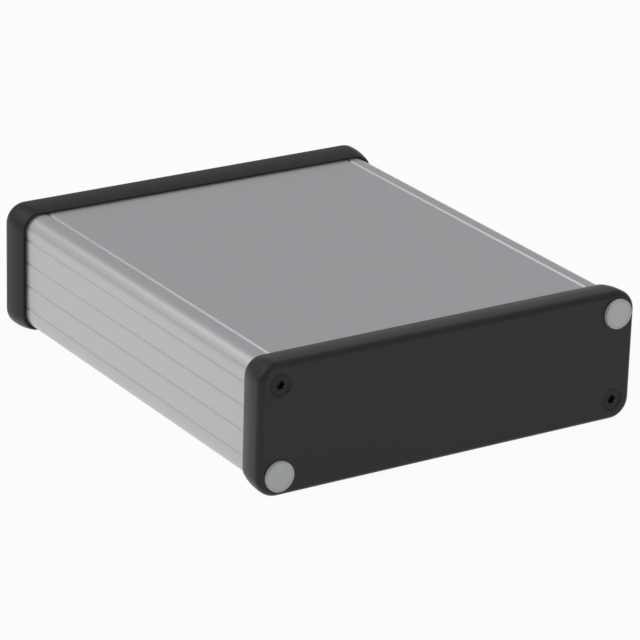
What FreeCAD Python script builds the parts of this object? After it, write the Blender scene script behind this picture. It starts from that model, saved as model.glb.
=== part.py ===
import FreeCAD, Part
import math
import os

# A small instrument case, in millimetres. X is its width, Y its length with the
# front face towards -Y, and Z points up from the surface that the case stands on.
# The origin is on that surface, under the middle of the case.

# Extruded body
BODY_LENGTH = 120.0
BODY_WIDTH = 103.0
BODY_HEIGHT = 30.5
BODY_CORNER_RADIUS = 4.2
BODY_WALL = 1.5
BODY_INNER_RADIUS = 1.0

# Shallow grooves along the outside of each side wall
GROOVE_COUNT = 4
GROOVE_PITCH = 6.15
GROOVE_WIDTH = 0.9
GROOVE_FLOOR_WIDTH = 0.3
GROOVE_DEPTH = 0.18

# Ribs on the inside of each side wall, in pairs that hold the edge of a board
SLOT_COUNT = 3
SLOT_PITCH = 5.2
SLOT_GAP = 1.8
SLOT_RIB_THICKNESS = 1.0
SLOT_DEPTH = 1.6

# Cover plate, which slides in from one end between the body's two shoulders
SHOULDER_WIDTH = 6.2
COVER_THICKNESS = 1.6
TONGUE_THICKNESS = 0.8
TONGUE_REACH = 1.6
TONGUE_CLEARANCE = 0.1
SEAM_GAP = 0.12
SEAM_CHAMFER = 0.45
LEDGE_REACH = 2.0
LEDGE_THICKNESS = 1.4

# Screws and the open channels in the body that they cut their thread in
SCREW_INSET_SIDE = 3.7
SCREW_INSET_TOP = 3.95
SCREW_LENGTH = 9.5
SCREW_SHANK_DIAMETER = 3.0
SCREW_HEAD_DIAMETER = 5.2
SCREW_CLEARANCE = 0.05
CHANNEL_WALL = 1.5
CHANNEL_MOUTH = 1.6

# Six-pointed recess in the screw head
RECESS_POINTS = 6
RECESS_DIAMETER = 2.4
RECESS_INNER_DIAMETER = 1.7
RECESS_DEPTH = 1.0

# Moulded end caps, alike at both ends. Outside, each has a rounded front edge, a short flat
# and a long crown, which thins the skirt down to a fine lip
CAP_CLEARANCE = 0.25
CAP_SIDE_WALL = 1.5
CAP_TOP_WALL = 1.25
CAP_CORNER_RADIUS = 5.3
CAP_PLATE = 2.85
CAP_SKIRT = 5.9
CAP_EDGE_LENGTH = 2.0
CAP_EDGE_DROP = 1.35
CAP_SIDE_FLAT = 0.6
CAP_LIP_THICKNESS = 0.35

# Countersink for each screw head, a little wider than the head, and the hole for its shank
COUNTERSINK_DIAMETER = 6.1
SHANK_HOLE_CLEARANCE = 0.15

# Locating tongues on the inside of each cap
TONGUE_RIB_LENGTH = 70.0
TONGUE_RIB_THICKNESS = 1.2
TONGUE_RIB_DEPTH = 3.0
TONGUE_RIB_GAP = 0.25
TONGUE_RIB_ROOT = 0.6

# Soft discs stuck over two of the front screws
DISC_DIAMETER = 7.6
DISC_THICKNESS = 0.9
DISC_CHAMFER = 0.3

# The most of a wall or corner that a rounding or chamfer may take
ROUNDING_SHARE = 0.9

# Sizes that follow from the ones above
CAP_WIDTH = BODY_WIDTH + 2 * (CAP_CLEARANCE + CAP_SIDE_WALL)
CAP_HEIGHT = BODY_HEIGHT + 2 * (CAP_CLEARANCE + CAP_TOP_WALL)
CAP_DEPTH = CAP_PLATE + CAP_SKIRT
MID_Z = CAP_HEIGHT / 2
BODY_BASE_Z = MID_Z - BODY_HEIGHT / 2
BODY_TOP_Z = MID_Z + BODY_HEIGHT / 2
BODY_END_Y = BODY_LENGTH / 2
CAP_OUTER_Y = BODY_END_Y + CAP_PLATE
SCREW_X = BODY_WIDTH / 2 - SCREW_INSET_SIDE
SCREW_Z = BODY_HEIGHT / 2 - SCREW_INSET_TOP
CHANNEL_RADIUS = SCREW_SHANK_DIAMETER / 2 + SCREW_CLEARANCE
SEAM_X = BODY_WIDTH / 2 - SHOULDER_WIDTH
COVER_BASE_Z = BODY_TOP_Z - COVER_THICKNESS
TONGUE_TOP_Z = COVER_BASE_Z + TONGUE_THICKNESS
HEAD_DEPTH = (COUNTERSINK_DIAMETER - SCREW_HEAD_DIAMETER) / 2 - SCREW_CLEARANCE
HEAD_TOP_Y = CAP_OUTER_Y - HEAD_DEPTH
SEAT_WIDTH = BODY_WIDTH + 2 * CAP_CLEARANCE
SEAT_HEIGHT = BODY_HEIGHT + 2 * CAP_CLEARANCE
SEAT_RADIUS = BODY_CORNER_RADIUS + CAP_CLEARANCE
EDGE_DROP = min(CAP_EDGE_DROP, ROUNDING_SHARE * CAP_CORNER_RADIUS)
LIP_DROP = min(CAP_SIDE_WALL, CAP_TOP_WALL) - CAP_LIP_THICKNESS

SIDES = {"left": -1, "right": 1}
LEVELS = {"upper": 1, "lower": -1}
LENGTHWISE = FreeCAD.Vector(0, 1, 0)
OUTWARD = FreeCAD.Vector(0, -1, 0)
QUARTER_TURN = 90


def point(x, y, z):
    """A place or a step in the case's frame."""
    return FreeCAD.Vector(x, y, z)


def polygon_face(corners):
    """The flat face inside a ring of corners."""
    return Part.Face(Part.makePolygon(corners + corners[:1]))


def rectangle(x_low, x_high, z_low, z_high, y):
    """A flat rectangle across the case, at y."""
    return polygon_face([point(x_low, y, z_low), point(x_high, y, z_low),
                         point(x_high, y, z_high), point(x_low, y, z_high)])


def rounded_wire(width, height, radius, y, middle_z=MID_Z):
    """A rounded rectangle across the case, as a closed wire."""
    half_x = width / 2 - radius
    half_z = height / 2 - radius
    arc_middle = radius * math.sqrt(0.5)
    arcs = []
    for sign_x, sign_z in ((1, -1), (1, 1), (-1, 1), (-1, -1)):
        centre = point(sign_x * half_x, y, middle_z + sign_z * half_z)
        over_or_under = centre + point(0, 0, sign_z * radius)
        beside = centre + point(sign_x * radius, 0, 0)
        middle = centre + point(sign_x * arc_middle, 0, sign_z * arc_middle)
        first, last = (over_or_under, beside) if sign_x == -sign_z else (beside, over_or_under)
        arcs.append((first, middle, last))
    edges = []
    for index, (first, middle, last) in enumerate(arcs):
        following = arcs[(index + 1) % len(arcs)][0]
        edges += [Part.Arc(first, middle, last).toShape(), Part.makeLine(last, following)]
    return Part.Wire(edges)


def rounded_face(width, height, radius, y, middle_z=MID_Z):
    """A rounded rectangle across the case, filled."""
    return Part.Face(rounded_wire(width, height, radius, y, middle_z))


def disc_face(x, z, radius, y):
    """A flat round face across the case, at y."""
    circle = Part.Circle(point(x, y, z), LENGTHWISE, radius)
    return Part.Face(Part.Wire(circle.toShape()))


def turned(profile, x, z):
    """A solid of revolution about a lengthwise line through (x, z).

    The profile lists its corners in order, as (radius, y).
    """
    face = polygon_face([point(x + radius, y, z) for radius, y in profile])
    return face.revolve(point(x, 0, z), LENGTHWISE, 360)


def screw_places():
    """The four screw axes at one end, with their names."""
    for level, sign_z in LEVELS.items():
        for side, sign_x in SIDES.items():
            yield f"{level}_{side}", sign_x * SCREW_X, MID_Z + sign_z * SCREW_Z


def both_sides(x_near, x_far, z_low, z_high, y):
    """Two mirrored rectangles, between two distances from the middle."""
    return [rectangle(min(sign * x_near, sign * x_far), max(sign * x_near, sign * x_far),
                      z_low, z_high, y) for sign in SIDES.values()]


def board_ribs(y):
    """Ribs in pairs, one pair to each board slot, rooted in the side walls."""
    wall_x = BODY_WIDTH / 2 - BODY_WALL
    root_x = BODY_WIDTH / 2 - BODY_WALL / 2
    ribs = []
    for index in range(SLOT_COUNT):
        slot_z = MID_Z + (index - (SLOT_COUNT - 1) / 2) * SLOT_PITCH
        for sign in LEVELS.values():
            edge_z = slot_z + sign * SLOT_GAP / 2
            far_z = edge_z + sign * SLOT_RIB_THICKNESS
            ribs += both_sides(wall_x - SLOT_DEPTH, root_x, min(edge_z, far_z), max(edge_z, far_z), y)
    return ribs


def side_grooves(y):
    """Grooves with sloping walls down both outer side walls."""
    half_mouth = GROOVE_WIDTH / 2
    half_floor = GROOVE_FLOOR_WIDTH / 2
    mouth_x = BODY_WIDTH / 2
    floor_x = mouth_x - GROOVE_DEPTH
    section = [(mouth_x, -half_mouth), (floor_x, -half_floor), (floor_x, half_floor), (mouth_x, half_mouth)]
    grooves = []
    for index in range(GROOVE_COUNT):
        groove_z = MID_Z + (index - (GROOVE_COUNT - 1) / 2) * GROOVE_PITCH
        for sign in SIDES.values():
            grooves.append(polygon_face([point(sign * x, y, groove_z + z) for x, z in section]))
    return grooves


def chamfer_corner(x, z, y):
    """A small square on its corner, which takes the sharp edge off at (x, z)."""
    size = SEAM_CHAMFER
    return polygon_face([point(x - size, y, z), point(x, y, z + size),
                         point(x + size, y, z), point(x, y, z - size)])


def full_length(faces):
    """Each face of a section drawn out to the length of the extrusion."""
    return [face.extrude(LENGTHWISE * BODY_LENGTH) for face in faces]


def make_body():
    """The long extrusion: one section, cut square at both ends."""
    y = -BODY_END_Y
    outline = rounded_face(BODY_WIDTH, BODY_HEIGHT, BODY_CORNER_RADIUS, y)
    ledge_base_z = COVER_BASE_Z - LEDGE_THICKNESS
    floor_z = BODY_BASE_Z + BODY_WALL
    hollow = rounded_face(BODY_WIDTH - 2 * BODY_WALL, ledge_base_z - floor_z, BODY_INNER_RADIUS, y,
                          (ledge_base_z + floor_z) / 2)
    bosses = [disc_face(x, z, CHANNEL_RADIUS + CHANNEL_WALL, y) for _, x, z in screw_places()]

    bores = [disc_face(x, z, CHANNEL_RADIUS, y) for _, x, z in screw_places()]
    mouths = []
    half_mouth = CHANNEL_MOUTH / 2
    for _, x, z in screw_places():
        inward = -1 if z > MID_Z else 1
        far_z = z + inward * (CHANNEL_RADIUS + CHANNEL_WALL)
        mouths.append(rectangle(x - half_mouth, x + half_mouth, min(z, far_z), max(z, far_z), y))

    above_z = BODY_TOP_Z + COVER_THICKNESS
    opening_x = SEAM_X - LEDGE_REACH
    opening = rectangle(-opening_x, opening_x, ledge_base_z, above_z, y)
    cover_seat = rectangle(-SEAM_X, SEAM_X, COVER_BASE_Z, above_z, y)
    track_x = SEAM_X + TONGUE_REACH + TONGUE_CLEARANCE
    track = rectangle(-track_x, track_x, COVER_BASE_Z, TONGUE_TOP_Z + TONGUE_CLEARANCE, y)
    chamfers = [chamfer_corner(sign * SEAM_X, BODY_TOP_Z, y) for sign in SIDES.values()]

    block, hollow_core = full_length([outline, hollow])
    body = block.cut(hollow_core).fuse(full_length(bosses + board_ribs(y))).common(block)
    cuts = bores + mouths + side_grooves(y) + [opening, cover_seat, track] + chamfers
    return body.cut(full_length(cuts)).removeSplitter().Solids[0]


def make_cover():
    """The flat plate whose two tongues run in the tracks under the shoulders."""
    y = -BODY_END_Y
    edge_x = SEAM_X - SEAM_GAP
    tongue_x = SEAM_X + TONGUE_REACH
    plate = rectangle(-edge_x, edge_x, COVER_BASE_Z, BODY_TOP_Z, y)
    tongues = rectangle(-tongue_x, tongue_x, COVER_BASE_Z, TONGUE_TOP_Z, y)
    chamfers = [chamfer_corner(sign * edge_x, BODY_TOP_Z, y) for sign in SIDES.values()]
    plate_solid, tongue_solid = full_length([plate, tongues])
    return plate_solid.fuse(tongue_solid).cut(full_length(chamfers)).removeSplitter().Solids[0]


def countersink(x, z):
    """What a screw takes out of the cap's plate: a 45 degree cone and the shank's hole."""
    face_y = -CAP_OUTER_Y
    outside_y = face_y - CAP_PLATE
    inside_y = face_y + 2 * CAP_PLATE
    cone_radius = COUNTERSINK_DIAMETER / 2
    hole_radius = SCREW_SHANK_DIAMETER / 2 + SHANK_HOLE_CLEARANCE
    cone_end_y = face_y + cone_radius - hole_radius
    return turned([(0, outside_y), (cone_radius, outside_y), (cone_radius, face_y),
                   (hole_radius, cone_end_y), (hole_radius, inside_y), (0, inside_y)], x, z)


def quarter_ellipse(centre, first, second):
    """The quarter of an ellipse between the ends of its two half axes."""
    long_end, short_end = sorted((first, second), key=centre.distanceToPoint, reverse=True)
    return Part.ArcOfEllipse(Part.Ellipse(long_end, short_end, centre), 0, math.pi / 2).toShape()


def rim_profile():
    """The cap's outside in section, from its corner's axis at x = 0 out to its side.

    The front edge is a quarter of an ellipse, and a long arc falls away from the side to the lip.
    """
    front_y = -CAP_OUTER_Y
    rear_y = front_y + CAP_DEPTH
    side = CAP_CORNER_RADIUS
    edge_centre = point(side - EDGE_DROP, front_y + CAP_EDGE_LENGTH, 0)
    face_end = point(edge_centre.x, front_y, 0)
    side_start = point(side, edge_centre.y, 0)

    crown_y = side_start.y + CAP_SIDE_FLAT
    crown_length = rear_y - crown_y
    crown_radius = (crown_length ** 2 + LIP_DROP ** 2) / (2 * LIP_DROP)
    crown_turn = math.asin(crown_length / crown_radius)
    side_end, crown_middle, lip = [
        point(side - crown_radius * (1 - math.cos(turn)), crown_y + crown_radius * math.sin(turn), 0)
        for turn in (0, crown_turn / 2, crown_turn)]

    rear_axis = point(0, rear_y, 0)
    front_axis = point(0, front_y, 0)
    edges = [quarter_ellipse(edge_centre, face_end, side_start), Part.makeLine(side_start, side_end),
             Part.Arc(side_end, crown_middle, lip).toShape(), Part.makeLine(lip, rear_axis),
             Part.makeLine(rear_axis, front_axis), Part.makeLine(front_axis, face_end)]
    return Part.Face(Part.Wire(Part.__sortEdges__(edges)))


def crowned_block():
    """The cap's solid outside: the rim's profile turned round each corner and drawn along each side."""
    half_x = CAP_WIDTH / 2 - CAP_CORNER_RADIUS
    half_z = CAP_HEIGHT / 2 - CAP_CORNER_RADIUS
    profile = rim_profile()
    middle = rectangle(-half_x, half_x, MID_Z - half_z, MID_Z + half_z, -CAP_OUTER_Y)
    centres = [point(sign_x * half_x, 0, MID_Z + sign_z * half_z)
               for sign_x, sign_z in ((1, 1), (-1, 1), (-1, -1), (1, -1))]
    pieces = []
    for index, centre in enumerate(centres):
        following = centres[(index + 1) % len(centres)]
        start, end = [profile.rotated(point(0, 0, 0), OUTWARD, QUARTER_TURN * turn).translated(centre)
                      for turn in (index, index + 1)]
        pieces += [start.revolve(centre, OUTWARD, QUARTER_TURN), end.extrude(following - centre)]
    return middle.extrude(LENGTHWISE * CAP_DEPTH).fuse(pieces).removeSplitter()


def make_cap():
    """The front cap: plate, skirt round the body, holes for the screws, locating tongues."""
    seat_face = rounded_face(SEAT_WIDTH, SEAT_HEIGHT, SEAT_RADIUS, -BODY_END_Y)
    seat = seat_face.extrude(LENGTHWISE * CAP_DEPTH)
    holes = [countersink(x, z) for _, x, z in screw_places()]
    cap = crowned_block().cut([seat] + holes)
    return cap.fuse(locating_tongues()).removeSplitter()


def locating_tongues():
    """Two long ribs that enter the body, just clear of its floor and of the cover."""
    floor_z = BODY_BASE_Z + BODY_WALL + TONGUE_RIB_GAP
    ceiling_z = COVER_BASE_Z - TONGUE_RIB_GAP
    root_y = -BODY_END_Y - TONGUE_RIB_ROOT
    depth = TONGUE_RIB_ROOT + TONGUE_RIB_DEPTH
    half_length = TONGUE_RIB_LENGTH / 2
    low = rectangle(-half_length, half_length, floor_z, floor_z + TONGUE_RIB_THICKNESS, root_y)
    high = rectangle(-half_length, half_length, ceiling_z - TONGUE_RIB_THICKNESS, ceiling_z, root_y)
    return [rib.extrude(LENGTHWISE * depth) for rib in (low, high)]


def make_screw(x, z):
    """A countersunk screw in the front cap, its shank towards +Y."""
    top_y = -HEAD_TOP_Y
    head_radius = SCREW_HEAD_DIAMETER / 2
    shank_radius = SCREW_SHANK_DIAMETER / 2
    cone_end_y = top_y + head_radius - shank_radius
    end_y = top_y + SCREW_LENGTH
    blank = turned([(0, top_y), (head_radius, top_y), (shank_radius, cone_end_y),
                    (shank_radius, end_y), (0, end_y)], x, z)
    return blank.cut(driver_recess(x, top_y, z))


def driver_recess(x, top_y, z):
    """The star-shaped well that the driver fits."""
    corners = []
    for index in range(2 * RECESS_POINTS):
        radius = (RECESS_INNER_DIAMETER if index % 2 else RECESS_DIAMETER) / 2
        angle = math.pi * index / RECESS_POINTS
        corners.append(point(x + radius * math.sin(angle), top_y, z + radius * math.cos(angle)))
    return polygon_face(corners).extrude(LENGTHWISE * RECESS_DEPTH)


def make_disc(x, z):
    """A soft disc on the front face, its outer edge chamfered."""
    back_y = -CAP_OUTER_Y
    front_y = back_y - DISC_THICKNESS
    radius = DISC_DIAMETER / 2
    chamfer = min(DISC_CHAMFER, ROUNDING_SHARE * DISC_THICKNESS)
    return turned([(0, back_y), (radius, back_y), (radius, front_y + chamfer),
                   (radius - chamfer, front_y), (0, front_y)], x, z)


def at_rear(shape):
    """The same shape at the other end of the case."""
    copy = shape.copy()
    copy.rotate(point(0, 0, 0), point(0, 0, 1), 180)
    return copy


def make_pieces():
    """Every solid of the case in its place, by name."""
    cap = make_cap()
    pieces = {"main_body": make_body(), "cover_plate": make_cover(),
              "front_end_cap": cap, "rear_end_cap": at_rear(cap)}
    discs = {"upper_cover_disc": (1, 1), "lower_cover_disc": (-1, -1)}
    for name, (sign_x, sign_z) in discs.items():
        pieces[name] = make_disc(sign_x * SCREW_X, MID_Z + sign_z * SCREW_Z)
    for place, x, z in screw_places():
        pieces[f"front_screw_{place}"] = make_screw(x, z)
        pieces[f"rear_screw_{place}"] = at_rear(make_screw(-x, z))
    return pieces


os.makedirs("parts", exist_ok=True)
for name, shape in make_pieces().items():
    shape.exportStep(f"parts/{name}.step")
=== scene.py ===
"""Dresses a small extruded instrument case and its studio for one photograph."""
import logging
import math
from collections.abc import Callable, Sequence
from dataclasses import dataclass
from enum import Enum
from typing import Any, TypeAlias

import bmesh
import bpy
from mathutils import Matrix, Vector


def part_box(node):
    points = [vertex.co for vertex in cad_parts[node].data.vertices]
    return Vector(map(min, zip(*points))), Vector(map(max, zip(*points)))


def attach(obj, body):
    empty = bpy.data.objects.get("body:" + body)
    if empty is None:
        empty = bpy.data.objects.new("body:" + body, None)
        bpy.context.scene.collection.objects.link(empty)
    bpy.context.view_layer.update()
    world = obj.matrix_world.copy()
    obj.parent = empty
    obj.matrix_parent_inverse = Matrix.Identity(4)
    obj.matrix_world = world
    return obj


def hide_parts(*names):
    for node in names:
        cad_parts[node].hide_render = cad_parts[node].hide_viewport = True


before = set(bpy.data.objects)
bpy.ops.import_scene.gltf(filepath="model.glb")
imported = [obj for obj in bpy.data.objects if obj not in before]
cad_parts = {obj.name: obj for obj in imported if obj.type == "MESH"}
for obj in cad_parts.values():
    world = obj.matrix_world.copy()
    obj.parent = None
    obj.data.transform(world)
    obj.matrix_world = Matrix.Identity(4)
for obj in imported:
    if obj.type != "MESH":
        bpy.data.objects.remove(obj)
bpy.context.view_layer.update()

# Lengths in this script are metres, and MM turns millimetres into them
MM = 0.001
BODY = "root"
NOISE_MEAN = 0.5

Colour: TypeAlias = tuple[float, float, float]
# What Python arithmetic takes beside a signal
Operand: TypeAlias = "Signal | float"
# A socket's number, name or identifier
Key: TypeAlias = int | str
# The radius of a ring at an angle in radians
Outline: TypeAlias = Callable[[float], float]

log = logging.getLogger("instrument_case")


class End(Enum):
    """The two ends of the case."""

    FRONT = "front"
    REAR = "rear"

    @property
    def outward(self) -> int:
        """The sign of Y that the end faces."""
        return 1 if self is End.REAR else -1


class Corner(Enum):
    """The corners of an end cap that hold a screw."""

    UPPER_LEFT = "upper_left"
    UPPER_RIGHT = "upper_right"
    LOWER_LEFT = "lower_left"
    LOWER_RIGHT = "lower_right"


class Slot(Enum):
    """The record's material slots."""

    ALUMINIUM = "anodised_aluminium"
    PLASTIC = "black_plastic"
    STEEL = "screw_steel"
    PAD = "clear_pad"


def opaque(colour: Colour) -> tuple[float, float, float, float]:
    """A colour with full alpha, as colour sockets take it."""
    return (*colour, 1.0)


class Signal:
    """A number that varies over a surface, which Python arithmetic can be done on."""

    def __init__(self, graph: "NodeGraph", socket: bpy.types.NodeSocket) -> None:
        """Keeps the graph that the socket is in.

        Args:
            graph: the node graph of its material or world.
            socket: the output that gives the number.
        """
        self.graph = graph
        self.socket = socket

    def _joined(self, operation: str, left: Operand, right: Operand) -> "Signal":
        """The result of one Math node.

        Args:
            operation: the Math node's operation.
            left: its first value or signal.
            right: its second value or signal.

        Returns:
            The node's output as a signal.
        """
        return self.graph.signal("ShaderNodeMath", {"operation": operation}, {0: left, 1: right})

    def __add__(self, other: Operand) -> "Signal":
        """Signal plus a number or signal."""
        return self._joined("ADD", self, other)

    def __radd__(self, other: Operand) -> "Signal":
        """A number plus the signal."""
        return self._joined("ADD", other, self)

    def __sub__(self, other: Operand) -> "Signal":
        """Signal minus a number or signal."""
        return self._joined("SUBTRACT", self, other)

    def __rsub__(self, other: Operand) -> "Signal":
        """A number minus the signal."""
        return self._joined("SUBTRACT", other, self)

    def __mul__(self, other: Operand) -> "Signal":
        """Signal times a number or signal."""
        return self._joined("MULTIPLY", self, other)

    def __rmul__(self, other: Operand) -> "Signal":
        """A number times the signal."""
        return self._joined("MULTIPLY", other, self)

    def __truediv__(self, other: Operand) -> "Signal":
        """Signal divided by a number or signal."""
        return self._joined("DIVIDE", self, other)

    def __rtruediv__(self, other: Operand) -> "Signal":
        """A number divided by the signal."""
        return self._joined("DIVIDE", other, self)

    def highest(self, other: Operand) -> "Signal":
        """The higher of the signal and a number or signal."""
        return self._joined("MAXIMUM", self, other)

    def lowest(self, other: Operand) -> "Signal":
        """The lower of the signal and a number or signal."""
        return self._joined("MINIMUM", self, other)

    def below(self, other: Operand) -> "Signal":
        """1 where the signal is less than a number or signal, and otherwise 0."""
        return self._joined("LESS_THAN", self, other)

    def size(self) -> "Signal":
        """The signal without its sign."""
        return self._joined("ABSOLUTE", self, 0.0)

    def held(self) -> "Signal":
        """The signal, kept from 0 to 1."""
        return self.lowest(1.0).highest(0.0)


class NodeGraph:
    """A node tree that is filled node by node."""

    def __init__(self, tree: bpy.types.NodeTree, output_kind: str) -> None:
        """Empties the tree and gives it an output node.

        Args:
            tree: the node tree of a material or a world.
            output_kind: the output node's type.
        """
        self.tree = tree
        self.tree.nodes.clear()
        self.output = self.node(output_kind)

    def node(self, kind: str, settings: dict[str, Any] | None = None,
             inputs: dict[Key, Any] | None = None) -> bpy.types.Node:
        """Adds any node.

        Args:
            kind: the node's type.
            settings: its properties, set before its sockets.
            inputs: a value, signal or output for each input, by name, identifier or number.

        Returns:
            The new node.
        """
        made = self.tree.nodes.new(kind)
        for name, value in (settings or {}).items():
            setattr(made, name, value)
        for key, value in (inputs or {}).items():
            self._feed(self._find(made.inputs, key), value)
        return made

    def signal(self, kind: str, settings: dict[str, Any] | None = None,
               inputs: dict[Key, Any] | None = None, output: Key = 0) -> Signal:
        """Adds a node and gives one of its outputs.

        Args:
            kind: the node's type.
            settings: its properties.
            inputs: what its inputs get.
            output: the output's name, identifier or number.

        Returns:
            That output as a signal.
        """
        return Signal(self, self._find(self.node(kind, settings, inputs).outputs, output))

    def surface(self, shader: bpy.types.Node) -> None:
        """Joins the last shader to the output."""
        self.tree.links.new(shader.outputs[0], self.output.inputs["Surface"])

    def blended(self, share: Signal, plain: bpy.types.Node, lifted: bpy.types.Node) -> bpy.types.Node:
        """Mixes two shaders.

        Args:
            share: 0 for the first shader, 1 for the second.
            plain: the first shader.
            lifted: the second shader.

        Returns:
            The mixing node.
        """
        return self.node("ShaderNodeMixShader",
                         inputs={0: share, 1: plain.outputs[0], 2: lifted.outputs[0]})

    def seen_share(self, by_camera: float, by_mirror: float) -> Signal:
        """How far something lights up for the ray that meets it.

        Args:
            by_camera: the share for rays from the camera.
            by_mirror: the share for mirrored and refracted rays.

        Returns:
            The share, which is 0 for every other ray.
        """
        rays = self.node("ShaderNodeLightPath")
        camera = Signal(self, rays.outputs["Is Camera Ray"])
        glossy = Signal(self, rays.outputs["Is Glossy Ray"])
        refracted = Signal(self, rays.outputs["Is Transmission Ray"])
        return (camera * by_camera).highest(glossy.highest(refracted) * by_mirror)

    @staticmethod
    def _find(sockets: Any, key: Key) -> bpy.types.NodeSocket:
        """Looks up a socket.

        Args:
            sockets: a node's inputs or outputs.
            key: the socket's number, name or identifier.

        Returns:
            The socket.
        """
        if isinstance(key, int):
            return sockets[key]
        return next(socket for socket in sockets if key in (socket.name, socket.identifier))

    def _feed(self, socket: bpy.types.NodeSocket, value: Any) -> None:
        """Links a signal or an output to an input, or sets the input's own value.

        Args:
            socket: the input.
            value: the signal, output or plain value.
        """
        if isinstance(value, Signal):
            self.tree.links.new(value.socket, socket)
        elif isinstance(value, bpy.types.NodeSocket):
            self.tree.links.new(value, socket)
        else:
            socket.default_value = value


@dataclass(frozen=True)
class Pattern:
    """Soft noise: how wide its blotches are in metres, and its finer octaves."""

    width: float
    octaves: float = 2.0
    octave_strength: float = 0.5


class ShaderGraph(NodeGraph):
    """One material and the nodes in it."""

    def __init__(self, name: str) -> None:
        """Makes an empty material with an output node.

        Args:
            name: the material's name.
        """
        self.material = bpy.data.materials.new(name)
        self.material.use_nodes = True
        super().__init__(self.material.node_tree, "ShaderNodeOutputMaterial")

    def finish(self, shader: bpy.types.Node) -> bpy.types.Material:
        """Joins the last shader to the output and gives the material."""
        self.surface(shader)
        return self.material

    def object_place(self) -> Signal:
        """Object coordinates."""
        return self.signal("ShaderNodeTexCoord", output="Object")

    def stretched(self, place: Signal, factors: Sequence[float]) -> Signal:
        """Coordinates multiplied along each axis by a factor."""
        return self.signal("ShaderNodeMapping", inputs={"Vector": place, "Scale": tuple(factors)})

    def axis(self, place: Signal, letter: str) -> Signal:
        """One of the three coordinates, by its letter."""
        return self.signal("ShaderNodeSeparateXYZ", inputs={"Vector": place}, output=letter)

    def noise(self, place: Signal, pattern: Pattern) -> Signal:
        """Soft noise from 0 to 1.

        Args:
            place: the coordinates that it is read at.
            pattern: its width and octaves.

        Returns:
            The noise as a signal.
        """
        return self.signal("ShaderNodeTexNoise", inputs={
            "Vector": place, "Scale": 1.0 / pattern.width, "Detail": pattern.octaves,
            "Roughness": pattern.octave_strength}, output="Fac")

    def around(self, middle: float, swing: float, *noises: Signal) -> Signal:
        """A number that swings about a middle value.

        Args:
            middle: the middle value.
            swing: how much each noise changes it from end to end.
            noises: the noises.

        Returns:
            The swinging number.
        """
        return sum(noise - NOISE_MEAN for noise in noises) * swing + middle

    def tinted(self, amount: Signal, low: Colour, high: Colour) -> Signal:
        """A colour between two colours.

        Args:
            amount: 0 for the first colour, 1 for the second.
            low: the first colour.
            high: the second colour.

        Returns:
            The mixed colour.
        """
        return self.signal("ShaderNodeMix", {"data_type": "RGBA"}, {
            "Factor_Float": amount, "A_Color": opaque(low), "B_Color": opaque(high)}, "Result_Color")

    def scaled(self, colour: Signal, amount: Signal, shade: float) -> Signal:
        """A colour that is darker or paler where a share is high.

        Args:
            colour: the colour.
            amount: the share, from 0 to 1.
            shade: what the colour is multiplied by where the share is 1.

        Returns:
            The changed colour.
        """
        return self.signal("ShaderNodeMix", {"data_type": "RGBA", "blend_type": "MULTIPLY"}, {
            "Factor_Float": amount, "A_Color": colour, "B_Color": opaque((shade, shade, shade))},
            "Result_Color")

    def bump(self, height: Signal, depth: float, under: Signal | None = None) -> Signal:
        """A normal bent by a height.

        Args:
            height: the height, from 0 to 1.
            depth: what a height of 1 is in metres.
            under: a normal that is bent already, if any.

        Returns:
            The bent normal.
        """
        inputs = {"Height": height, "Distance": depth}
        if under is not None:
            inputs["Normal"] = under
        return self.signal("ShaderNodeBump", inputs=inputs)


@dataclass(frozen=True)
class SatinAluminium:
    """Natural anodised aluminium: fine matt grain, with faint die lines along the extrusion, and painted
    shade on the floors of the side grooves.
    """

    shade: Colour = (0.567, 0.575, 0.573)
    pale_shade: Colour = (0.595, 0.603, 0.601)
    metallic: float = 0.55
    roughness: float = 0.34
    roughness_swing: float = 0.06
    die_lines: Pattern = Pattern(0.35 * MM, 3.0, 0.65)
    die_line_squeeze: float = 0.004
    die_line_share: float = 0.5
    die_line_depth: float = 0.006 * MM
    grain: Pattern = Pattern(0.14 * MM, 2.0, 0.6)
    grain_depth: float = 0.008 * MM
    clouds: Pattern = Pattern(28 * MM)
    groove_depth: float = 0.18 * MM
    # Painted shade: what the colour is multiplied by on the floors of the side grooves
    groove_painted_shade: float = 0.9
    grooved_half_height: float = 10.9 * MM

    def material(self) -> bpy.types.Material:
        """Builds the material.

        Returns:
            The material, ready to go on a mesh.
        """
        graph = ShaderGraph("satin_aluminium")
        place = graph.object_place()
        lines = graph.noise(graph.stretched(place, (1.0, self.die_line_squeeze, 1.0)), self.die_lines)
        clouds = graph.noise(place, self.clouds)
        paleness = lines * self.die_line_share + clouds * (1.0 - self.die_line_share)
        colour = graph.tinted(paleness, self.shade, self.pale_shade)
        line_normal = graph.bump(lines, self.die_line_depth)
        return graph.finish(graph.node("ShaderNodeBsdfPrincipled", inputs={
            # Painted shade darkens the colour on the groove floors
            "Base Color": graph.scaled(colour, self.painted_shade_in_groove(graph, place), self.groove_painted_shade),
            "Metallic": self.metallic,
            "Roughness": graph.around(self.roughness, self.roughness_swing, clouds, lines),
            "Normal": graph.bump(graph.noise(place, self.grain), self.grain_depth, line_normal)}))

    def painted_shade_in_groove(self, graph: ShaderGraph, place: Signal) -> Signal:
        """How deep a point lies in the side grooves, where less light gets in, so painted shade darkens the
        colour there.

        Args:
            graph: the material's graph.
            place: the object coordinates.

        Returns:
            1 on the grooves' floors, and 0 on the sides themselves and elsewhere.
        """
        low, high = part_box("main_body")
        depth = (high.x - graph.axis(place, "X").size()) / self.groove_depth
        height = (graph.axis(place, "Z") - (low.z + high.z) / 2).size()
        return depth.held() * height.below(self.grooved_half_height)


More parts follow.
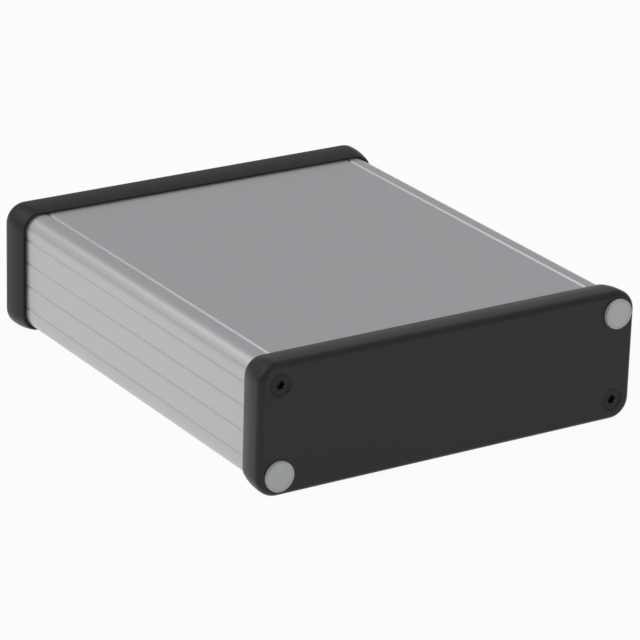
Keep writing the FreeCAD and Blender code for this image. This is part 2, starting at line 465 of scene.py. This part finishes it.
@dataclass(frozen=True)
class MouldedPlastic:
    """Black plastic moulded against a spark-eroded tool, so it has a fine even grain."""

    shade: Colour = (0.0238, 0.0233, 0.0202)
    pale_shade: Colour = (0.0298, 0.0291, 0.0258)
    roughness: float = 0.35
    roughness_swing: float = 0.08
    specular: float = 0.21
    grain: Pattern = Pattern(0.32 * MM, 3.0, 0.6)
    grain_share: float = 0.6
    pit_width: float = 0.5 * MM
    clouds: Pattern = Pattern(18 * MM)
    relief_share: float = 0.6
    relief_depth: float = 0.016 * MM

    def material(self) -> bpy.types.Material:
        """Builds the material.

        Returns:
            The material, ready to go on a mesh.
        """
        graph = ShaderGraph("moulded_plastic")
        place = graph.object_place()
        grain = graph.noise(place, self.grain)
        pits = graph.signal("ShaderNodeTexVoronoi", {"feature": "SMOOTH_F1"},
                            {"Vector": place, "Scale": 1.0 / self.pit_width}, "Distance")
        clouds = graph.noise(place, self.clouds)
        relief = grain * self.grain_share + pits * (1.0 - self.grain_share)
        paleness = relief * self.relief_share + clouds * (1.0 - self.relief_share)
        return graph.finish(graph.node("ShaderNodeBsdfPrincipled", inputs={
            "Base Color": graph.tinted(paleness, self.shade, self.pale_shade),
            "Roughness": graph.around(self.roughness, self.roughness_swing, grain, clouds),
            "Specular IOR Level": self.specular,
            "Normal": graph.bump(relief, self.relief_depth)}))


@dataclass(frozen=True)
class BlackedSteel:
    """Steel with a thin black oxide finish, a little shinier where it was handled."""

    shade: Colour = (0.009, 0.009, 0.009)
    pale_shade: Colour = (0.026, 0.026, 0.026)
    metallic: float = 0.7
    roughness: float = 0.3
    roughness_swing: float = 0.2
    patches: Pattern = Pattern(0.8 * MM, 3.0, 0.6)
    patch_depth: float = 0.01 * MM

    def material(self) -> bpy.types.Material:
        """Builds the material.

        Returns:
            The material, ready to go on a mesh.
        """
        graph = ShaderGraph("blacked_steel")
        patches = graph.noise(graph.object_place(), self.patches)
        return graph.finish(graph.node("ShaderNodeBsdfPrincipled", inputs={
            "Base Color": graph.tinted(patches, self.shade, self.pale_shade),
            "Metallic": self.metallic,
            "Roughness": graph.around(self.roughness, self.roughness_swing, patches),
            "Normal": graph.bump(patches, self.patch_depth)}))


@dataclass(frozen=True)
class SoftPad:
    """Cloudy soft plastic that lets a little light in, with a painted highlight that makes its cut edge
    paler.
    """

    shade: Colour = (0.495, 0.515, 0.50)
    pale_shade: Colour = (0.555, 0.575, 0.56)
    roughness: float = 0.24
    roughness_swing: float = 0.1
    specular: float = 0.8
    clouds: Pattern = Pattern(1.6 * MM, 3.0)
    cloud_depth: float = 0.02 * MM
    see_in: float = 0.08
    see_in_depth: float = 0.4 * MM
    # Painted highlight: what the colour is multiplied by on the cut edge
    painted_edge_highlight: float = 1.7
    edge_start: float = 0.35 * MM
    edge_blend: float = 0.1 * MM

    def material(self) -> bpy.types.Material:
        """Builds the material.

        Returns:
            The material, ready to go on a mesh.
        """
        graph = ShaderGraph("soft_pad")
        place = graph.object_place()
        clouds = graph.noise(place, self.clouds)
        colour = graph.tinted(clouds, self.shade, self.pale_shade)
        return graph.finish(graph.node("ShaderNodeBsdfPrincipled", inputs={
            # The cut edge gets a painted highlight
            "Base Color": graph.scaled(colour, self.painted_highlight_on_edge(graph, place), self.painted_edge_highlight),
            "Roughness": graph.around(self.roughness, self.roughness_swing, clouds),
            "Specular IOR Level": self.specular,
            "Subsurface Weight": self.see_in, "Subsurface Scale": self.see_in_depth,
            "Normal": graph.bump(clouds, self.cloud_depth)}))

    def painted_highlight_on_edge(self, graph: ShaderGraph, place: Signal) -> Signal:
        """How far a point lies behind the rim, on the cut edge, where the painted highlight is.

        Args:
            graph: the material's graph.
            place: the object coordinates.

        Returns:
            1 on the cut edge, and 0 on the face.
        """
        low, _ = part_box("upper_cover_disc")
        edge_y = low.y + self.edge_start
        return ((graph.axis(place, "Y") - edge_y) / self.edge_blend).held()


class Workshop:
    """Turns finished meshes into pieces that ride on the case."""

    sharp_angle: float = math.radians(32)
    edge_segments: int = 2
    weld: float = 0.0005 * MM
    flat_angle: float = math.radians(0.2)

    def __init__(self) -> None:
        """Makes each finish once."""
        self.finishes: dict[Slot, bpy.types.Material] = {
            Slot.ALUMINIUM: SatinAluminium().material(),
            Slot.PLASTIC: MouldedPlastic().material(),
            Slot.STEEL: BlackedSteel().material(),
            Slot.PAD: SoftPad().material(),
        }

    def piece(self, bm: bmesh.types.BMesh, name: str, slot: Slot, stands_for: str) -> bpy.types.Object:
        """Finishes one piece and the hidden CAD node behind it, and leaves its sharp edges crisp.

        Args:
            bm: its mesh, which is freed.
            name: the piece's name.
            slot: its material slot.
            stands_for: the CAD node that it is shown in place of.

        Returns:
            The new object.
        """
        mesh = bpy.data.meshes.new(name)
        bm.to_mesh(mesh)
        bm.free()
        self.dress(mesh, slot)
        self.dress(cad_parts[stands_for].data, slot)
        mesh.shade_smooth()
        mesh.set_sharp_from_angle(angle=self.sharp_angle)
        made = bpy.data.objects.new(name, mesh)
        bpy.context.scene.collection.objects.link(made)
        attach(made, BODY)
        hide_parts(stands_for)
        return made

    def dress(self, mesh: bpy.types.Mesh, slot: Slot) -> None:
        """Gives a mesh the finish of its slot and no other."""
        mesh.materials.clear()
        mesh.materials.append(self.finishes[slot])

    def softened(self, node: str, name: str, slot: Slot, width: float, angle: float) -> bpy.types.Object:
        """Stands a copy of a CAD node with softened edges in its place.

        Args:
            node: the node's name.
            name: the piece's name.
            slot: its material slot.
            width: the width of the softened edges, in metres.
            angle: the angle past which an edge is softened, in radians.

        Returns:
            The new object.
        """
        made = self.piece(self.whole_faces(node), name, slot, node)
        bevel = made.modifiers.new("edge_round", "BEVEL")
        bevel.width = width
        bevel.segments = self.edge_segments
        bevel.limit_method = "ANGLE"
        bevel.angle_limit = angle
        normals = made.modifiers.new("flat_faces", "WEIGHTED_NORMAL")
        normals.keep_sharp = True
        return made

    def whole_faces(self, node: str) -> bmesh.types.BMesh:
        """A copy of a CAD node's mesh with its loose triangles joined into whole faces.

        Args:
            node: the node's name.

        Returns:
            The joined copy.
        """
        bm = bmesh.new()
        bm.from_mesh(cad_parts[node].data)
        bmesh.ops.remove_doubles(bm, verts=bm.verts, dist=self.weld)
        bmesh.ops.dissolve_limit(bm, angle_limit=self.flat_angle, verts=bm.verts, edges=bm.edges)
        return bm


@dataclass
class Extrusion:
    """The aluminium body and the cover plate that slides into it."""

    edge_round: float = 0.06 * MM
    round_angle: float = math.radians(35)

    def build(self, shop: Workshop) -> list[bpy.types.Object]:
        """Makes both pieces.

        Args:
            shop: the workshop that finishes them.

        Returns:
            The body and the cover.
        """
        return [shop.softened(node, name, Slot.ALUMINIUM, self.edge_round, self.round_angle)
                for node, name in (("main_body", "extruded_body"), ("cover_plate", "sliding_cover"))]


@dataclass
class EndCaps:
    """The two moulded caps, alike at both ends."""

    edge_round: float = 0.12 * MM
    round_angle: float = math.radians(30)

    def build(self, shop: Workshop) -> list[bpy.types.Object]:
        """Makes both caps.

        Args:
            shop: the workshop that finishes them.

        Returns:
            The front cap and the rear cap.
        """
        return [shop.softened(f"{end.value}_end_cap", f"{end.value}_cap_moulding", Slot.PLASTIC,
                              self.edge_round, self.round_angle)
                for end in End]


@dataclass
class Screws:
    """The countersunk screws, four to a cap. Depths run from the top of the head along the shank."""

    sides: int = 60
    head_radius: float = 2.6 * MM
    head_lip: float = 0.12 * MM
    # The rounded lip's points, each an inset from the head's radius and a depth, as shares of the lip
    lip_points: tuple[tuple[float, float], ...] = ((2.0, 0.0), (0.5, 0.25), (0.25, 0.5), (1.0, 1.0))
    shank_radius: float = 1.5 * MM
    thread_depth: float = 0.28 * MM
    thread_pitch: float = 1.25 * MM
    thread_start: float = 2.1 * MM
    thread_run_out: float = 0.9 * MM
    ridge_steepness: float = 3.0
    rings_per_turn: int = 10
    tip_chamfer: float = 0.45 * MM
    lobes: int = 6
    lobe_radius: float = 1.2 * MM
    waist_radius: float = 0.86 * MM
    recess_depth: float = 1.0 * MM
    recess_chamfer: float = 0.09 * MM
    recess_taper: float = 0.06 * MM

    def build(self, shop: Workshop) -> list[bpy.types.Object]:
        """Makes all the screws.

        Args:
            shop: the workshop that finishes them.

        Returns:
            The screws of the front cap and then of the rear cap.
        """
        made = []
        for end in End:
            for corner in Corner:
                node = f"{end.value}_screw_{corner.value}"
                made.append(shop.piece(self.screw(end, *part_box(node)), f"{node}_steel", Slot.STEEL, node))
        return made

    def screw(self, end: End, low: Vector, high: Vector) -> bmesh.types.BMesh:
        """One screw, drawn out ring by ring from the floor of its recess to its tip.

        Args:
            end: the cap that it is in.
            low: the lowest corner of the room that it fills.
            high: the highest corner of that room.

        Returns:
            The closed mesh.
        """
        bm = bmesh.new()
        bmesh.ops.create_circle(bm, cap_ends=True, cap_tris=True, segments=self.sides,
                                radius=self.waist_radius)
        rim = [vert for vert in bm.verts if vert.is_boundary]
        recess_middle = next(vert for vert in bm.verts if not vert.is_boundary)
        recess_middle.co.z = -self.recess_depth
        recess_floor, *rings = self.rings(high.y - low.y)
        self.place_ring(rim, *recess_floor)
        edges = [edge for edge in bm.edges if edge.is_boundary]
        for outline, depth in rings:
            drawn = bmesh.ops.extrude_edge_only(bm, edges=edges)["geom"]
            self.place_ring([item for item in drawn if isinstance(item, bmesh.types.BMVert)],
                            outline, depth)
            edges = [item for item in drawn if isinstance(item, bmesh.types.BMEdge) and item.is_boundary]
        bmesh.ops.contextual_create(bm, geom=edges)
        middle = (low + high) / 2
        head_top = Vector((middle.x, high.y if end is End.REAR else low.y, middle.z))
        upright_to_outward = Matrix.Rotation(-math.pi / 2 * end.outward, 4, "X")
        bmesh.ops.transform(bm, matrix=Matrix.Translation(head_top) @ upright_to_outward, verts=bm.verts)
        bmesh.ops.recalc_face_normals(bm, faces=bm.faces)
        return bm

    def rings(self, length: float) -> list[tuple[Outline, float]]:
        """The screw's shape as rings, each an outline and a depth.

        Args:
            length: the whole length.

        Returns:
            The rings from the recess's floor, over the head and down the shank.
        """
        core_radius = self.shank_radius - self.thread_depth
        cone_depth = self.head_radius - self.shank_radius
        thread_end = length - self.tip_chamfer
        rings = [(self.lobed(-self.recess_taper), self.recess_depth),
                 (self.lobed(0.0), self.recess_chamfer),
                 (self.lobed(self.recess_chamfer), 0.0)]
        rings += [(self.round(self.head_radius - inset * self.head_lip), depth * self.head_lip)
                  for inset, depth in self.lip_points]
        rings += [(self.round(self.shank_radius), cone_depth),
                  (self.round(self.shank_radius), self.thread_start - self.thread_depth),
                  (self.round(core_radius), self.thread_start)]
        step = self.thread_pitch / self.rings_per_turn
        depth = self.thread_start + step
        while depth < thread_end:
            rings.append((self.threaded(depth, thread_end), depth))
            depth += step
        return rings + [(self.round(core_radius), thread_end),
                        (self.round(core_radius - self.tip_chamfer), length)]

    def lobed(self, growth: float) -> Outline:
        """The recess's outline, with a round lobe for each point of the driver.

        Args:
            growth: how much wider than its plain size it is.

        Returns:
            Its radius at an angle.
        """
        middle = (self.lobe_radius + self.waist_radius) / 2 + growth
        swing = (self.lobe_radius - self.waist_radius) / 2
        return lambda angle: middle + swing * math.cos(self.lobes * angle)

    def threaded(self, depth: float, thread_end: float) -> Outline:
        """The threaded shank's outline at a depth, fading in at its start and out at its end.

        Args:
            depth: how far below the head's top the ring is.
            thread_end: how far below it the thread ends.

        Returns:
            Its radius at an angle.
        """
        core_radius = self.shank_radius - self.thread_depth
        faded = min(depth - self.thread_start, thread_end - depth, self.thread_run_out)
        height = self.thread_depth * faded / self.thread_run_out

        def radius(angle: float) -> float:
            """The radius at an angle, which is largest where the ridge passes.

            Args:
                angle: the angle round the shank, in radians.

            Returns:
                The radius there.
            """
            turn = (depth / self.thread_pitch - angle / math.tau) % 1.0
            return core_radius + height * max(0.0, 1.0 - abs(turn - 0.5) * self.ridge_steepness)

        return radius

    @staticmethod
    def round(radius: float) -> Outline:
        """The same radius at every angle."""
        return lambda angle: radius

    @staticmethod
    def place_ring(verts: list[bmesh.types.BMVert], outline: Outline, depth: float) -> None:
        """Moves a ring's points to its outline, each at the angle that it has.

        Args:
            verts: the ring's points.
            outline: the radius at an angle.
            depth: how far below the head's top the ring is.
        """
        for vert in verts:
            angle = math.atan2(vert.co.y, vert.co.x)
            radius = outline(angle)
            vert.co = Vector((radius * math.cos(angle), radius * math.sin(angle), -depth))


@dataclass
class Pads:
    """The two soft discs over the front screws, each with a rounded rim and a shallow dish."""

    sides: int = 72
    wall_height: float = 0.55 * MM
    rim_round: float = 0.28 * MM
    rim_steps: int = 8
    dish_slope: float = 0.4 * MM
    dish_depth: float = 0.35 * MM
    weld: float = 0.001 * MM

    def build(self, shop: Workshop) -> list[bpy.types.Object]:
        """Makes both discs.

        Args:
            shop: the workshop that finishes them.

        Returns:
            The upper disc and the lower disc.
        """
        made = []
        for level in ("upper", "lower"):
            node = f"{level}_cover_disc"
            made.append(shop.piece(self.disc(*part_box(node)), f"{level}_pad", Slot.PAD, node))
        return made

    def disc(self, low: Vector, high: Vector) -> bmesh.types.BMesh:
        """One disc, spun from its section.

        Args:
            low: the lowest corner of the room that it fills.
            high: the highest corner of that room.

        Returns:
            The closed mesh.
        """
        centre = (low + high) / 2
        bm = bmesh.new()
        points = [bm.verts.new((centre.x + reach, y, centre.z)) for reach, y in self.section(low, high)]
        edges = [bm.edges.new(pair) for pair in zip(points, points[1:])]
        bmesh.ops.spin(bm, geom=points + edges, cent=centre, axis=(0, 1, 0), angle=math.tau,
                       steps=self.sides, use_merge=True)
        bmesh.ops.remove_doubles(bm, verts=bm.verts, dist=self.weld)
        bmesh.ops.recalc_face_normals(bm, faces=bm.faces)
        return bm

    def section(self, low: Vector, high: Vector) -> list[tuple[float, float]]:
        """Half of the disc's section.

        Args:
            low: the lowest corner of the room that it fills.
            high: the highest corner of that room.

        Returns:
            Pairs of distance from the axis and Y, from the middle of the dish to the middle of the back.
        """
        radius = (high.x - low.x) / 2
        rim_radius = radius - self.rim_round
        rim_depth = high.y - low.y - self.wall_height
        dish_y = low.y + self.dish_depth
        points = [(0.0, dish_y), (rim_radius - self.dish_slope, dish_y)]
        for step in range(self.rim_steps + 1):
            angle = math.pi / 2 * step / self.rim_steps
            points.append((rim_radius + self.rim_round * math.sin(angle),
                           low.y + rim_depth * (1 - math.cos(angle))))
        return points + [(radius, high.y), (0.0, high.y)]


@dataclass
class Viewpoint:
    """Where the photograph was taken from, seen from the middle of the front cap. Angles are in degrees."""

    azimuth: float = -32.8864
    elevation: float = 21.4820
    roll: float = 1.7234
    focal_pixels: float = 3643.72
    picture_pixels: float = 640.0
    sensor_millimetres: float = 36.0
    stand_off: float = 861.54 * MM
    aim_right: float = -31.219 * MM
    aim_up: float = 17.250 * MM

    def build(self) -> None:
        """Makes the camera."""
        right, up, back = self.axes()
        low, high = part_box("front_end_cap")
        front = Vector((0, low.y, (low.z + high.z) / 2))
        place = front + right * self.aim_right + up * self.aim_up + back * self.stand_off
        camera = bpy.data.objects.new("camera", bpy.data.cameras.new("camera"))
        camera.data.sensor_width = self.sensor_millimetres
        camera.data.lens = self.focal_pixels / self.picture_pixels * self.sensor_millimetres
        turned = Matrix((right, up, back)).transposed().to_4x4()
        camera.matrix_world = Matrix.Translation(place) @ turned
        bpy.context.scene.collection.objects.link(camera)
        bpy.context.scene.camera = camera

    def axes(self) -> tuple[Vector, Vector, Vector]:
        """The directions of the picture.

        Returns:
            The way to its right, the way up it, and the way back to the camera.
        """
        azimuth, elevation = math.radians(self.azimuth), math.radians(self.elevation)
        back = Vector((math.sin(azimuth) * math.cos(elevation), -math.cos(azimuth) * math.cos(elevation),
                       math.sin(elevation)))
        level = Vector((0, 0, 1)).cross(back).normalized()
        turn = Matrix.Rotation(math.radians(self.roll), 3, back)
        return turn @ level, turn @ back.cross(level), back


@dataclass(frozen=True)
class Lamp:
    """A square soft box, aimed at the case. Its place and size are in metres, and its power in watts."""

    name: str
    place: tuple[float, float, float]
    size: float
    power: float

    def build(self) -> None:
        """Makes the lamp."""
        light = bpy.data.lights.new(self.name, "AREA")
        light.shape = "SQUARE"
        light.size = self.size
        light.energy = self.power
        lamp = bpy.data.objects.new(self.name, light)
        lamp.location = self.place
        lamp.rotation_mode = "QUATERNION"
        lamp.rotation_quaternion = (-Vector(self.place)).to_track_quat("-Z", "Y")
        bpy.context.scene.collection.objects.link(lamp)


@dataclass
class Studio:
    """The floor, the lamps and the pale surroundings."""

    white: Colour = (1.0, 1.0, 1.0)
    white_strength: float = 1.0
    floor_half_width: float = 12.0
    floor_shade: Colour = (0.8, 0.8, 0.8)
    floor_seen_by_camera: float = 0.95
    floor_seen_by_mirror: float = 1.0
    surround_tint: Colour = (0.94, 0.945, 1.0)
    surround_strength: float = 0.36
    surround_seen_by_camera: float = 1.0
    surround_seen_by_mirror: float = 0.17
    lamps: tuple[Lamp, ...] = (
        Lamp("high_lamp", (-0.656, 0.874, 1.302), 1.1, 4.2),
        Lamp("side_lamp", (-1.178, 0.883, 0.85), 1.1, 2.9),
        Lamp("front_lamp", (0.153, -1.533, 0.718), 1.0, 4.9),
    )

    def build(self) -> None:
        """Makes the whole studio."""
        self.floor()
        self.surround()
        for lamp in self.lamps:
            lamp.build()
        bpy.context.scene.view_settings.view_transform = "Standard"

    def floor(self) -> None:
        """Makes the floor: matt, and lifted towards white where it is seen or mirrored."""
        bm = bmesh.new()
        bmesh.ops.create_grid(bm, x_segments=1, y_segments=1, size=self.floor_half_width)
        mesh = bpy.data.meshes.new("studio_floor")
        bm.to_mesh(mesh)
        bm.free()
        graph = ShaderGraph("studio_floor")
        matt = graph.node("ShaderNodeBsdfDiffuse", inputs={"Color": opaque(self.floor_shade)})
        glow = graph.node("ShaderNodeEmission", inputs={"Color": opaque(self.white),
                                                        "Strength": self.white_strength})
        share = graph.seen_share(self.floor_seen_by_camera, self.floor_seen_by_mirror)
        mesh.materials.append(graph.finish(graph.blended(share, matt, glow)))
        floor = bpy.data.objects.new("studio_floor", mesh)
        bpy.context.scene.collection.objects.link(floor)

    def surround(self) -> None:
        """Makes the world: white where the camera sees it, and dimmer in mirrors and as a light."""
        world = bpy.data.worlds.new("surround")
        world.use_nodes = True
        bpy.context.scene.world = world
        graph = NodeGraph(world.node_tree, "ShaderNodeOutputWorld")
        dim = graph.node("ShaderNodeBackground", inputs={"Color": opaque(self.surround_tint),
                                                         "Strength": self.surround_strength})
        bright = graph.node("ShaderNodeBackground", inputs={"Color": opaque(self.white),
                                                            "Strength": self.white_strength})
        share = graph.seen_share(self.surround_seen_by_camera, self.surround_seen_by_mirror)
        graph.surface(graph.blended(share, dim, bright))


def main() -> None:
    """Builds the case and its studio, and logs the face count of each piece."""
    logging.basicConfig(level=logging.INFO, format="%(message)s")
    shop = Workshop()
    for group in (Extrusion(), EndCaps(), Screws(), Pads()):
        for piece in group.build(shop):
            log.info("%s: %d faces", piece.name, len(piece.data.polygons))
    Studio().build()
    Viewpoint().build()


if __name__ == "__main__":
    main()
